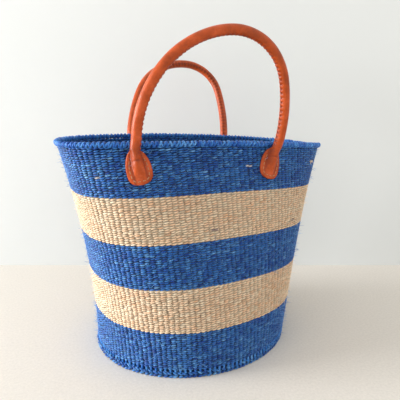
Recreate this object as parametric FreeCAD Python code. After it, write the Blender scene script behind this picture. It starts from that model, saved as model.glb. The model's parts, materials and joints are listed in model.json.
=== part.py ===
# Woven basket tote with two rolled leather handles, in millimetres.
# Origin: middle of the base, on the floor.  X runs along the long side of the mouth, Y from the
# front to the rear, Z up.  The zero pose has both handles leaning outward as the bag stands unheld.
import FreeCAD, Part
import math
import os

os.makedirs("parts", exist_ok=True)
V = FreeCAD.Vector

# ---- overall shape of the basket ------------------------------------------------------------
basket_height = 250.0        # floor to the top of the rim roll
base_half_width = 123.8      # along X, at the floor
base_half_depth = 111.7      # along Y, at the floor
mouth_half_width = 167.0
mouth_half_depth = 70.6
flattening = 1.75            # how late in the height the round base turns into the long mouth
mouth_corner = 3.0           # 2 is an ellipse, more is squarer
mouth_turn = -5.7            # degrees the mouth is turned against the base
mouth_shift_x = 9.3
mouth_shift_y = -0.5
mouth_tilt = 2.2             # degrees the rim drops toward the right end
wall = 3.5                   # thickness of the twined wall

# ---- heights of the parts of the basket -----------------------------------------------------
border_height = 7.0          # braided border the basket stands on
border_proud = 1.0
border_width = 6.0
eyelet_height = 3.0          # row of bare warps above the border
stripe_heights = (53.5, 101.7, 148.3, 195.8)   # where one colour ends and the next begins
rim_height = 6.5
rim_proud = 3.0
rim_inside = 0.5
rim_corner = 1.7             # slope that rounds the rim roll
rim_skin = 1.3               # wrapping over the cord in the rim

base_thickness = 3.5
base_gap = 0.05              # between the woven base and the border round it

warp_count = 136
warp_diameter = 2.2

# ---- handles --------------------------------------------------------------------------------
tube_radius = 5.3
cord_radius = 3.6
rim_gap = 0.5                # between the rim roll and a handle
hinge_rise = 1.5             # flex line above the top of the rim
moving_gap = 0.3             # between the moving tube and the fixed stub below it

front_foot_left = -98.7      # where the flex line crosses each leg
front_foot_right = 66.5
front_lean = 10.0            # degrees outward at rest
front_start = -3.6           # slant of the left leg, degrees
front_shoulder_left = (17.6, 67.4)
front_crown = (88.9, 112.4)
front_shoulder_right = (159.9, 67.1)

rear_foot_left = -44.2
rear_foot_right = 95.3
rear_lean = 25.0
rear_start = 9.5
rear_shoulder_left = (20.8, 64.4)
rear_crown = (97.3, 110.5)
rear_shoulder_right = (142.2, 69.9)

# ---- leather tabs ---------------------------------------------------------------------------
tab_width = 26.0
tab_length = 35.0
tab_thickness = 2.2
tab_neck = 13.0              # width of the tab where the tube leaves it
tab_drop = 1.5               # top of the tab below the rim roll
bulge_end = 25.0             # how far down the tab the tube is felt under the leather
bulge_radius = 4.6
crease_depth = 10.0          # where the cord ends below the top of the tab
splay_left = -6.0            # slant of the tabs, degrees
splay_right = 19.0

stitch_length = 3.4
stitch_width = 0.9
stitch_height = 0.6
stitch_pitch = 4.6
stitch_inset = 3.6
seam_pitch = 5.0
seam_sweep = 80.0            # degrees of the tube each seam stitch wraps
thread_clear = 0.02


# ---- outline of the basket ------------------------------------------------------------------
wall_bottom = border_height + eyelet_height


def level_outline(level, angle):
    """Outer face before the mouth is turned, shifted and tilted; angle in radians from +X."""
    t = level / basket_height
    base_mean = (base_half_width + base_half_depth) / 2.0
    base_split = (base_half_width - base_half_depth) / 2.0
    mouth_mean = (mouth_half_width + mouth_half_depth) / 2.0
    mouth_split = (mouth_half_width - mouth_half_depth) / 2.0
    mean = base_mean + (mouth_mean - base_mean) * t
    split = mouth_split * t ** flattening + base_split * (1.0 - t)
    corner = 2.0 + (mouth_corner - 2.0) * t
    c, s = math.cos(angle), math.sin(angle)
    reach = (abs(c) ** corner + abs(s) ** corner) ** (-1.0 / corner)
    return V((mean + split) * c * reach, (mean - split) * s * reach, 0.0)


def face_point(level, angle, out=0.0):
    """Point of the wall at a level, moved straight outward by out."""
    step = 0.001
    along = level_outline(level, angle + step) - level_outline(level, angle - step)
    p = level_outline(level, angle) + V(along.y, -along.x, 0.0).normalize() * out
    t = level / basket_height
    share = max(0.0, (level - wall_bottom) / (basket_height - wall_bottom))
    height = level - math.tan(math.radians(mouth_tilt)) * share ** 2 * p.x
    turn = math.radians(mouth_turn) * t
    return V(p.x * math.cos(turn) - p.y * math.sin(turn) + mouth_shift_x * t,
             p.x * math.sin(turn) + p.y * math.cos(turn) + mouth_shift_y * t, height)


def outward(level, angle):
    """Level direction pointing out of the outer face."""
    way = face_point(level, angle, 1.0) - face_point(level, angle, 0.0)
    return V(way.x, way.y, 0.0).normalize()


def ring_wire(z, out):
    points = [face_point(z, 2.0 * math.pi * i / 48, out) for i in range(48)]
    curve = Part.BSplineCurve()
    curve.interpolate(Points=points, PeriodicFlag=True)
    return Part.Wire([curve.toShape()])


def ring_solid(levels):
    """Solid inside a stack of outlines, each level a height and a distance outward."""
    return Part.makeLoft([ring_wire(z, out) for z, out in levels], True, True)


def hoop(outer_levels, inner_levels):
    return ring_solid(outer_levels).cut(ring_solid(inner_levels))


def save(name, shape):
    shape.exportStep("parts/" + name + ".step")


# ---- base -----------------------------------------------------------------------------------
border_inner = border_proud - border_width
save("base_border", hoop([(0.0, border_proud), (border_height, border_proud)],
                         [(0.0, border_inner), (border_height, border_inner)]))
disc_edge = border_inner - base_gap
oval = Part.Ellipse(V(0, 0, 0), base_half_width + disc_edge, base_half_depth + disc_edge)
save("base_disc", Part.Face(Part.Wire([oval.toShape()])).extrude(V(0, 0, base_thickness)))

warps = []
for i in range(warp_count):
    foot = face_point(border_height, 2.0 * math.pi * i / warp_count, -wall / 2.0)
    warps.append(Part.makeCylinder(warp_diameter / 2.0, eyelet_height, foot))
save("base_turn_warps", Part.makeCompound(warps))

# ---- wall -----------------------------------------------------------------------------------
wall_top = basket_height - rim_height
stripe_names = ("blue_bottom", "natural_lower", "blue_middle", "natural_upper", "blue_top")
edges_up = (wall_bottom,) + stripe_heights + (wall_top,)
for name, low, high in zip(stripe_names, edges_up[:-1], edges_up[1:]):
    save("wall_band_" + name, hoop([(low, 0.0), (high, 0.0)], [(low, -wall), (high, -wall)]))

# ---- rim ------------------------------------------------------------------------------------
rim_low = wall_top + rim_corner
rim_high = basket_height - rim_corner
rim_back = -wall - rim_inside
roll = hoop([(wall_top, rim_proud - rim_corner), (rim_low, rim_proud),
             (rim_high, rim_proud), (basket_height, rim_proud - rim_corner)],
            [(wall_top, -wall), (rim_low, rim_back),
             (rim_high, rim_back), (basket_height, rim_back + rim_corner)])
core_low = wall_top + rim_skin
core_high = basket_height - rim_skin
core = hoop([(core_low, rim_proud - rim_skin), (core_high, rim_proud - rim_skin)],
            [(core_low, rim_back + rim_skin), (core_high, rim_back + rim_skin)])
save("rim_core", core)
save("rim_wrap", roll.cut(core))


# ---- handles --------------------------------------------------------------------------------
stand_off = rim_proud + rim_gap + tube_radius


def foot_angle(x, z, side, out):
    """Angle at which the outline moved outward reaches x; side -1 front, +1 rear."""
    near, far = 0.02, math.pi - 0.02
    for _ in range(60):
        middle = (near + far) / 2.0
        if face_point(z, side * middle, out).x > x:
            near = middle
        else:
            far = middle
    return side * middle


def foot_point(x, side):
    """Middle of a leg where it crosses the flex line, clear of the fattest part of the rim."""
    angle = foot_angle(x, rim_low, side, stand_off)
    beside = face_point(rim_low, angle, stand_off)
    return V(beside.x, beside.y, face_point(basket_height, angle, stand_off).z + hinge_rise)


def arch_edges(width, start, shoulder_left, crown, shoulder_right):
    """Tangent arcs through the named points, in the plane of the handle (X along, Z up)."""
    stops = (shoulder_left, crown, shoulder_right, (width, 0.0))
    here = V(0, 0, 0)
    aim = V(math.sin(math.radians(start)), 0, math.cos(math.radians(start)))
    edges = []
    for along, up in stops:
        there = V(along, 0, up)
        chord = there - here
        square = V(-aim.z, 0, aim.x)
        radius = chord.Length ** 2 / (2.0 * chord.dot(square))
        centre = here + square * radius
        middle = (here + there) * 0.5 - centre
        bend = centre + middle.normalize() * abs(radius)
        edges.append(Part.Arc(here, bend, there).toShape())
        spoke = there - centre
        aim = V(spoke.z, 0, -spoke.x).normalize()
        here = there
    return edges


def tube_along(edges, radius):
    start = edges[0].valueAt(edges[0].FirstParameter)
    aim = edges[0].tangentAt(edges[0].FirstParameter)
    circle = Part.Wire([Part.makeCircle(radius, start, aim)])
    return Part.Wire(edges).makePipeShell([circle], True, False)


def seam_stitch(point, aim, inner_side):
    """One stitch wrapping the inner side of the tube, square to the tube."""
    low = tube_radius + thread_clear
    profile = Part.makePolygon([V(low, -stitch_width / 2, 0), V(low + stitch_height, -stitch_width / 2, 0),
                                V(low + stitch_height, stitch_width / 2, 0),
                                V(low, stitch_width / 2, 0), V(low, -stitch_width / 2, 0)])
    stitch = Part.Face(profile).revolve(V(0, 0, 0), V(0, 1, 0), seam_sweep)
    stitch.rotate(V(0, 0, 0), V(0, 1, 0), -seam_sweep / 2.0)
    third = inner_side.cross(aim)
    matrix = FreeCAD.Matrix(inner_side.x, aim.x, third.x, point.x,
                            inner_side.y, aim.y, third.y, point.y,
                            inner_side.z, aim.z, third.z, point.z, 0, 0, 0, 1)
    return stitch.transformed(matrix)


def build_handle(name, side, foot_left, foot_right, lean, start, shoulder_left, crown,
                 shoulder_right):
    left = foot_point(foot_left, side)
    right = foot_point(foot_right, side)
    span = right - left
    edges = arch_edges(span.Length, start, shoulder_left, crown, shoulder_right)
    outer = tube_along(edges, tube_radius)
    ball = Part.makeSphere(tube_radius)
    far_ball = Part.makeSphere(tube_radius, V(span.Length, 0, 0))
    cord = tube_along(edges, cord_radius)
    sleeve = outer.fuse([ball, far_ball]).cut(cord)
    stitches = []
    for edge in edges:
        count = max(1, int(edge.Length / seam_pitch))
        for i in range(count):
            at = edge.getParameterByLength(edge.Length * (i + 0.5) / count)
            point = edge.valueAt(at)
            aim = edge.tangentAt(at)
            if point.z > 2.0 * tube_radius:
                stitches.append(seam_stitch(point, aim, V(aim.z, 0, -aim.x)))
    along = V(span).normalize()
    level = V(0, 0, 1).cross(along).normalize()
    up = along.cross(level)
    frame = FreeCAD.Matrix(along.x, level.x, up.x, left.x, along.y, level.y, up.y, left.y,
                           along.z, level.z, up.z, left.z, 0, 0, 0, 1)
    place = FreeCAD.Placement(frame).multiply(
        FreeCAD.Placement(V(0, 0, 0), FreeCAD.Rotation(V(1, 0, 0), -side * lean)))
    for node, shape in (("sleeve", sleeve), ("cord", cord), ("seam", Part.makeCompound(stitches))):
        shape.Placement = place.multiply(shape.Placement)
        save(name + "_" + node, shape)
    section = math.pi * tube_radius ** 2
    length = sum(edge.Length for edge in edges)
    print(name, "flex line", left, right, "tube length", length,
          "volume against section times length", outer.Volume / (section * length))
    return left, right


# ---- tabs -----------------------------------------------------------------------------------
basket_body = ring_solid([(edges_up[3], 0.0), (edges_up[4], 0.0), (wall_top, 0.0)])


def tab_outline():
    """Paddle in its own plane: X across, Z up, top edge at zero."""
    half = tab_width / 2.0
    neck = tab_neck / 2.0
    low = half - tab_length
    shoulder = -(half - neck) * 1.6
    left_bend = V(-(half + neck) / 2.0 - 0.6, 0, shoulder * 0.42)
    right_bend = V(-left_bend.x, 0, left_bend.z)
    return [Part.LineSegment(V(-neck, 0, 0), V(neck, 0, 0)).toShape(),
            Part.Arc(V(neck, 0, 0), right_bend, V(half, 0, shoulder)).toShape(),
            Part.LineSegment(V(half, 0, shoulder), V(half, 0, low)).toShape(),
            Part.Arc(V(half, 0, low), V(0, 0, -tab_length), V(-half, 0, low)).toShape(),
            Part.LineSegment(V(-half, 0, low), V(-half, 0, shoulder)).toShape(),
            Part.Arc(V(-half, 0, shoulder), left_bend, V(-neck, 0, 0)).toShape()]


def stitch_line():
    """Places of the stitches round the sides and the bottom of a tab: point and slant."""
    half = tab_width / 2.0 - stitch_inset
    centre = tab_width / 2.0 - tab_length
    straight = tab_length - tab_width / 2.0 - (tab_width - tab_neck) * 0.8 - 1.0
    places = []
    for i in range(int(straight / stitch_pitch) + 1):
        up = centre + stitch_pitch * (i + 0.5)
        places.append((half, up, 90.0))
        places.append((-half, up, 90.0))
    count = int(math.pi * half / stitch_pitch)
    for i in range(count):
        swing = math.pi * (i + 0.5) / count
        places.append((half * math.cos(swing), centre - half * math.sin(swing),
                       90.0 - math.degrees(swing)))
    return places


def build_tab(name, side, foot, splay):
    """Paddle stitched to the wall with the fixed end of the tube that runs up past the rim."""
    top = wall_top - tab_drop
    middle = top - tab_length / 2.0
    slide = math.tan(math.radians(splay)) * (basket_height + hinge_rise - middle)
    angle = foot_angle(foot.x - slide, middle, side, 0.0)
    anchor = face_point(middle, angle)
    level = outward(middle, angle)
    rise = (face_point(top, angle) - face_point(top - tab_length, angle)).normalize()
    across = rise.cross(level).normalize() * -1.0
    if across.x < 0:
        across = across * -1.0
    rise = (rise - across * rise.dot(across)).normalize()
    out = across.cross(rise).normalize()
    if out.dot(level) < 0:
        out = out * -1.0
    lean = math.radians(splay)
    up = rise * math.cos(lean) + across * math.sin(lean)
    over = across * math.cos(lean) - rise * math.sin(lean)

    def spot(x, y, z):
        """Point across, outward and up from the top of the tab."""
        return anchor + over * x + out * y + up * (z + tab_length / 2.0)

    handed = over.cross(out).dot(up)
    forward = out if handed > 0 else out * -1.0
    reach = 1.0 if handed > 0 else -1.0
    start = spot(0, 0, 0)
    frame = FreeCAD.Matrix(over.x, forward.x, up.x, start.x, over.y, forward.y, up.y, start.y,
                           over.z, forward.z, up.z, start.z, 0, 0, 0, 1)
    sheet = Part.Face(Part.Wire(tab_outline()))
    sheet.translate(V(0, -4.0 * reach, 0))
    paddle = sheet.extrude(V(0, (4.0 + tab_thickness) * reach, 0)).transformed(frame)

    bulge_low = spot(0, tab_thickness - bulge_radius * 0.45, -bulge_end)
    bulge_high = spot(0, tube_radius, -crease_depth)
    neck = V(foot.x, foot.y, foot.z - tube_radius - rim_height / 2.0)
    stub_top = V(foot.x, foot.y, foot.z - tube_radius - moving_gap)
    pieces = [Part.makeSphere(bulge_radius, bulge_low)]
    pieces.append(cone_between(bulge_low, bulge_high, bulge_radius, tube_radius))
    pieces.append(Part.makeSphere(tube_radius, bulge_high))
    pieces.append(Part.makeCylinder(tube_radius, (neck - bulge_high).Length, bulge_high,
                                    neck - bulge_high))
    pieces.append(Part.makeSphere(tube_radius, neck))
    pieces.append(Part.makeCylinder(tube_radius, stub_top.z - neck.z, neck))
    above = Part.makeBox(40, 40, 40, V(foot.x - 20, foot.y - 20, stub_top.z))
    body = paddle.fuse(pieces).cut(above).cut(basket_body).cut(roll)
    body = max(body.Solids, key=lambda s: s.Volume)
    cord = Part.makeCylinder(cord_radius, (neck - bulge_high).Length, bulge_high,
                             neck - bulge_high)
    cord = cord.fuse(Part.makeCylinder(cord_radius, stub_top.z - neck.z - 1.0, neck))
    body = body.cut(cord)
    save(name, body)
    save(name + "_cord", cord)

    threads = []
    for x, z, slant in stitch_line():
        bar = Part.makeBox(stitch_length, stitch_height, stitch_width,
                           V(-stitch_length / 2.0, 0, -stitch_width / 2.0))
        bar.rotate(V(0, 0, 0), V(0, -1, 0), slant)
        depth = tab_thickness if reach > 0 else -tab_thickness - stitch_height
        bar.translate(V(x, depth, z))
        threads.append(bar.transformed(frame))
    save(name + "_stitches", Part.makeCompound(threads))


def cone_between(low, high, low_radius, high_radius):
    axis = high - low
    if abs(low_radius - high_radius) < 0.01:
        return Part.makeCylinder(low_radius, axis.Length, low, axis)
    return Part.makeCone(low_radius, high_radius, axis.Length, low, axis)


front = build_handle("handle_front", -1, front_foot_left, front_foot_right, front_lean,
                     front_start, front_shoulder_left, front_crown, front_shoulder_right)
rear = build_handle("handle_rear", 1, rear_foot_left, rear_foot_right, rear_lean,
                    rear_start, rear_shoulder_left, rear_crown, rear_shoulder_right)
build_tab("tab_front_left", -1, front[0], splay_left)
build_tab("tab_front_right", -1, front[1], splay_right)
build_tab("tab_rear_left", 1, rear[0], splay_left)
build_tab("tab_rear_right", 1, rear[1], splay_right)
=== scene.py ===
# A hand-twined sisal basket tote with two rolled leather handles, built round its CAD frame.
import json
import math

import bpy
import numpy as np
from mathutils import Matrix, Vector


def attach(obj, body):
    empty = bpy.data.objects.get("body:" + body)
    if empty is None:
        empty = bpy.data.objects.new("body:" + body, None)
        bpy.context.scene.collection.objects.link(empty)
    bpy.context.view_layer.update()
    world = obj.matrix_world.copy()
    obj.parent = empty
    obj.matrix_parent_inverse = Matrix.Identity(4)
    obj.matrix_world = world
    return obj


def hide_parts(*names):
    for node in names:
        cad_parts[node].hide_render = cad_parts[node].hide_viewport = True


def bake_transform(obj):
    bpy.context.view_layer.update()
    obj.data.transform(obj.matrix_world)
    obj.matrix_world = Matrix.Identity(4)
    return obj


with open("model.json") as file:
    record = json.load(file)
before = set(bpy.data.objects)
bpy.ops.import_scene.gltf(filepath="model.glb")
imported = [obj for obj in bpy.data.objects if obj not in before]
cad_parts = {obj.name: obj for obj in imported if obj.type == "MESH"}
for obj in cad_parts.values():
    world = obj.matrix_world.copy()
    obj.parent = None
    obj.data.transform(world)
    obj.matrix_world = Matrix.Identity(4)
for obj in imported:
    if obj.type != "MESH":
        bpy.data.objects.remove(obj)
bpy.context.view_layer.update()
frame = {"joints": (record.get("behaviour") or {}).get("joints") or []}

bl_info = {
    "name": "Sisal Basket Tote",
    "version": (1, 0, 0),
    "blender": (4, 5, 0),
    "location": "3D View > Sidebar > Basket",
    "description": "Builds a twined sisal basket with rolled leather handles",
    "category": "Object",
}

TURN = 2.0 * math.pi


def linear(code):
    """A colour from its sRGB hex code, as the shaders want it."""
    parts = [int(code[i:i + 2], 16) / 255.0 for i in (1, 3, 5)]
    return [p / 12.92 if p <= 0.04045 else ((p + 0.055) / 1.055) ** 2.4 for p in parts]


def length(name, description, default):
    return bpy.props.FloatProperty(name=name, description=description, default=default,
                                   unit="LENGTH", subtype="DISTANCE")


def degrees(name, description, default):
    return bpy.props.FloatProperty(name=name, description=description,
                                   default=math.radians(default), unit="ROTATION",
                                   subtype="ANGLE")


def dye(name, description, code):
    return bpy.props.FloatVectorProperty(name=name, description=description, subtype="COLOR",
                                         size=3, default=linear(code))


# ---- sizes and colours a maker would change ---------------------------------------------------
class BasketSizes(bpy.types.PropertyGroup):
    height: length("Height", "Floor to the top of the rim", 0.250)
    foot_half_width: length("Foot half width", "Half the width of the foot", 0.1238)
    foot_half_depth: length("Foot half depth", "Half the depth of the foot", 0.1117)
    mouth_half_width: length("Mouth half width", "Half the width of the mouth", 0.1670)
    mouth_half_depth: length("Mouth half depth", "Half the depth of the mouth", 0.0706)
    flattening: bpy.props.FloatProperty(
        name="Flattening", description="How late the round foot turns into the long mouth",
        default=1.75)
    mouth_corner: bpy.props.FloatProperty(
        name="Mouth corner", description="2 is an oval mouth, more is squarer", default=3.0)
    mouth_turn: degrees("Mouth turn", "Turn of the mouth against the foot", -5.7)
    mouth_tilt: degrees("Mouth tilt", "Drop of the rim toward its right end", 2.2)
    mouth_shift: bpy.props.FloatVectorProperty(
        name="Mouth shift", description="Lean of the mouth over the foot", size=2,
        default=(0.0093, -0.0005), unit="LENGTH")
    rim_saddle: length("Rim saddle", "How far the rim rises at the handles and sags at the ends",
        0.003)
    rim_height: length("Rim height", "Height of the rolled rim", 0.0065)
    rim_proud: length("Rim proud", "How far the rim stands out of the wall", 0.003)


class WeaveSizes(bpy.types.PropertyGroup):
    warp_count: bpy.props.IntProperty(
        name="Warps", description="Upright warps round the basket, an even number", default=136)
    row_pitch: length("Row pitch", "Height of one twined row", 0.00238)
    wall: length("Wall", "Thickness of the twined wall", 0.0035)
    strand_swing: length("Strand swing", "How far a weft strand moves in and out round a warp",
        0.00115)
    strand_climb: length("Strand climb", "How far a strand climbs as it crosses a warp", 0.00042)
    wall_bottom: length("First row", "Height of the first weft row", 0.010)
    border_height: length("Border", "Height of the braided border", 0.007)


class HandleSizes(bpy.types.PropertyGroup):
    tube_radius: length("Tube radius", "Radius of the rolled leather", 0.0053)
    tab_width: length("Tab width", "Width of the stitched tabs", 0.0264)
    tab_length: length("Tab length", "Length of the stitched tabs", 0.035)
    tab_thickness: length("Tab thickness", "Thickness of the leather", 0.0022)
    seam_pitch: length("Seam pitch", "Spacing of the seam stitches", 0.005)
    stitch_pitch: length("Stitch pitch", "Spacing of the stitches round a tab", 0.0046)


class BasketColours(bpy.types.PropertyGroup):
    blue: dye("Blue sisal", "Dyed fibre", "#0A4EAE")
    blue_deep: dye("Deep blue sisal", "Fibre that took more dye", "#052766")
    blue_pale: dye("Pale blue sisal", "Fibre that took less dye", "#3B86D2")
    natural: dye("Natural sisal", "Undyed fibre", "#FFD0A9")
    natural_deep: dye("Dark natural sisal", "Weathered undyed fibre", "#CC9664")
    natural_pale: dye("Pale natural sisal", "Bleached undyed fibre", "#FFEBCC")
    leather: dye("Leather", "Tan leather", "#B4470B")
    # also the colour of the painted shade in the seam groove and beside the raised tube on the tabs
    leather_deep: dye("Creased leather", "Leather in creases and along the seam", "#7A2A10")
    thread: dye("Thread", "Waxed thread on the tabs", "#C98A5E")
    floor: dye("Floor", "Cloth under the basket", "#E2DCD3")
    backdrop: dye("Backdrop", "Wall behind the basket", "#DEE1E0")


def setting(group):
    return getattr(bpy.context.scene, group)


# ---- the basket's own surface -----------------------------------------------------------------
LEVELS = 101
AROUND = 1088


class Surface:
    """The outer face of the basket: a point and a level outward direction for a height and a
    share of the way round. Shares are equal lengths along each outline, so warps stay even."""

    def __init__(self):
        size = setting("basket_sizes")
        weave = setting("weave_sizes")
        self.height = size.height
        points = np.zeros((LEVELS, AROUND, 3))
        normals = np.zeros((LEVELS, AROUND, 3))
        fine = np.linspace(0.0, TURN, 2881)
        for i in range(LEVELS):
            level = size.height * i / (LEVELS - 1)
            flat = self.outline(size, level, fine)
            steps = np.hypot(*np.diff(flat, axis=0).T)
            run = np.concatenate([[0.0], np.cumsum(steps)])
            angle = np.interp(np.arange(AROUND) / AROUND * run[-1], run, fine)
            here = self.outline(size, level, angle)
            ahead = self.outline(size, level, angle + 0.001)
            behind = self.outline(size, level, angle - 0.001)
            along = ahead - behind
            out = np.stack([along[:, 1], -along[:, 0]], 1)
            out /= np.linalg.norm(out, axis=1)[:, None]
            t = level / size.height
            share = max(0.0, (level - weave.wall_bottom) / (size.height - weave.wall_bottom))
            points[i, :, 2] = (level - math.tan(size.mouth_tilt) * share ** 2 * here[:, 0]
                               - size.rim_saddle * share ** 2 * np.cos(2.0 * angle))
            turn = size.mouth_turn * t
            spin = np.array([[math.cos(turn), math.sin(turn)], [-math.sin(turn), math.cos(turn)]])
            points[i, :, :2] = here @ spin + np.array(size.mouth_shift) * t
            normals[i, :, :2] = out @ spin
        self.points = points
        self.normals = normals

    @staticmethod
    def outline(size, level, angle):
        t = level / size.height
        foot_mean = (size.foot_half_width + size.foot_half_depth) / 2.0
        foot_split = (size.foot_half_width - size.foot_half_depth) / 2.0
        mouth_mean = (size.mouth_half_width + size.mouth_half_depth) / 2.0
        mouth_split = (size.mouth_half_width - size.mouth_half_depth) / 2.0
        mean = foot_mean + (mouth_mean - foot_mean) * t
        split = mouth_split * t ** size.flattening + foot_split * (1.0 - t)
        corner = 2.0 + (size.mouth_corner - 2.0) * t
        c, s = np.cos(angle), np.sin(angle)
        reach = (np.abs(c) ** corner + np.abs(s) ** corner) ** (-1.0 / corner)
        return np.stack([(mean + split) * c * reach, (mean - split) * s * reach], 1)

    def at(self, level, share, out=0.0):
        """Points and outward directions; level in metres, share from 0 to 1 round the basket."""
        level = np.asarray(level, float) + np.zeros_like(np.asarray(share, float))
        share = np.asarray(share, float) + np.zeros_like(level)
        row = np.clip(level / self.height, 0.0, 1.0) * (LEVELS - 1)
        low = np.minimum(row.astype(int), LEVELS - 2)
        up = (row - low)[..., None]
        column = (share % 1.0) * AROUND
        left = column.astype(int) % AROUND
        right = (left + 1) % AROUND
        side = (column - np.floor(column))[..., None]

        def mix(table):
            below = table[low, left] * (1 - side) + table[low, right] * side
            above = table[low + 1, left] * (1 - side) + table[low + 1, right] * side
            return below * (1 - up) + above * up

        normal = mix(self.normals)
        normal /= np.linalg.norm(normal, axis=-1)[..., None]
        point = mix(self.points) + normal * (np.asarray(out) + np.zeros_like(level))[..., None]
        return point, normal

    def share_at(self, x, level, side, out):
        """Share of the way round where the face moved outward reaches x; side -1 front, 1 rear."""
        shares = np.linspace(0.0, 1.0, 4001)[:-1]
        point, _ = self.at(np.full(4000, level), shares, out)
        middle = self.points[:, :, 1].mean()
        distance = np.where((point[:, 1] - middle) * side > 0, np.abs(point[:, 0] - x), 1.0)
        return shares[int(np.argmin(distance))]


def surface():
    if "surface" not in made:
        made["surface"] = Surface()
    return made["surface"]


made = {}


# ---- meshes -----------------------------------------------------------------------------------
def mesh_object(name, points, quads, smooth=True, **attributes):
    """An object from numpy points and faces, with one number per point for each attribute."""
    mesh = bpy.data.meshes.new(name)
    points = np.asarray(points, np.float32).reshape(-1, 3)
    quads = np.asarray(quads, np.int32)
    mesh.vertices.add(len(points))
    mesh.vertices.foreach_set("co", points.ravel())
    mesh.loops.add(quads.size)
    mesh.loops.foreach_set("vertex_index", quads.ravel())
    mesh.polygons.add(len(quads))
    mesh.polygons.foreach_set("loop_start", np.arange(len(quads), dtype=np.int32) * quads.shape[1])
    mesh.polygons.foreach_set("use_smooth", np.full(len(quads), smooth))
    mesh.update(calc_edges=True)
    mesh.validate()
    for key, values in attributes.items():
        layer = mesh.attributes.new(key, "FLOAT", "POINT")
        layer.data.foreach_set("value", np.asarray(values, np.float32).ravel())
    return put(name, mesh)


def ring_faces(rings, sides, closed):
    """Quads of a tube of that many rings; closed tubes meet themselves."""
    i = np.arange(rings if closed else rings - 1)[:, None]
    j = np.arange(sides)[None, :]
    nxt, side = (i + 1) % rings, (j + 1) % sides
    return np.stack(np.broadcast_arrays(i * sides + j, i * sides + side,
                                        nxt * sides + side, nxt * sides + j), -1).reshape(-1, 4)


def tube_points(centres, across, over, half_across, half_over, sides, phase=0.0):
    """Rings of points round centres, wide along across and tall along over."""
    angle = phase + np.arange(sides) / sides * TURN
    return (centres[:, None, :]
            + across[:, None, :] * (np.asarray(half_across)[:, None] * np.cos(angle))[..., None]
            + over[:, None, :] * (np.asarray(half_over)[:, None] * np.sin(angle))[..., None])


def unit(v):
    return v / np.maximum(np.linalg.norm(v, axis=-1), 1e-12)[..., None]


def running(line):
    """Length from the start of a line to each of its points."""
    return np.concatenate([[0.0], np.cumsum(np.linalg.norm(np.diff(line, axis=0), axis=1))])


def inside_out(across, over, aim):
    """True where a tube of these directions would show its inner side."""
    return np.sum(np.cross(across, over) * aim) < 0


def put(name, data):
    """Places an object in the scene at the origin."""
    thing = bpy.data.objects.new(name, data)
    bpy.context.scene.collection.objects.link(thing)
    return thing


def wander(rng, count, smooth):
    """Smooth closed random line, about -1 to 1."""
    raw = rng.normal(size=count)
    spectrum = np.fft.rfft(raw)
    spectrum *= np.exp(-(np.arange(len(spectrum)) / smooth) ** 2)
    line = np.fft.irfft(spectrum, count)
    return line / max(1e-9, np.abs(line).max())


class Strands:
    """Collects many tubes into one mesh."""

    def __init__(self):
        self.points, self.faces, self.values, self.count = [], [], {}, 0

    def add(self, points, closed=True, **values):
        rings, sides = points.shape[:2]
        self.faces.append(ring_faces(rings, sides, closed) + self.count)
        if not closed:
            first = self.count + np.arange(sides)
            last = first + (rings - 1) * sides
            self.cap(first[::-1])
            self.cap(last)
        self.points.append(points.reshape(-1, 3))
        for key, line in values.items():
            spread = np.broadcast_to(np.asarray(line, float), (rings, sides)).ravel() \
                if np.ndim(line) == 2 else np.repeat(np.asarray(line, float), sides)
            self.values.setdefault(key, []).append(spread)
        self.count += rings * sides

    def cap(self, loop):
        """Closes the end of a tube with quads across it."""
        n = len(loop)
        quads = []
        a, b = 0, n - 1
        while b - a >= 3:
            quads.append([loop[a], loop[a + 1], loop[b - 1], loop[b]])
            a, b = a + 1, b - 1
        if b - a == 2:
            quads.append([loop[a], loop[a + 1], loop[b], loop[b]])
        self.faces.append(np.array(quads))

    def object(self, name):
        faces = np.concatenate(self.faces)
        values = {key: np.concatenate(lines) for key, lines in self.values.items()}
        return mesh_object(name, np.concatenate(self.points), faces, **values)


# how uneven hand-twined stitches are, each as a share of the size it changes
SIZE_SPREAD, LIFT_SPREAD, SWING_SPREAD, SHIFT_SPREAD, SAG_SPREAD = 0.09, 0.12, 0.08, 0.11, 0.13
BULGE_POWER = 0.65          # below 1 a strand stays longer on the face before it dives
PARTED_STITCHES = 0.22      # share of the stitches with a painted dark gap beside them, painted shade
ODD_COLOUR = 0.6            # how strongly an odd stitch takes the other colour
STITCH_LENGTH = 0.0055


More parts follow.
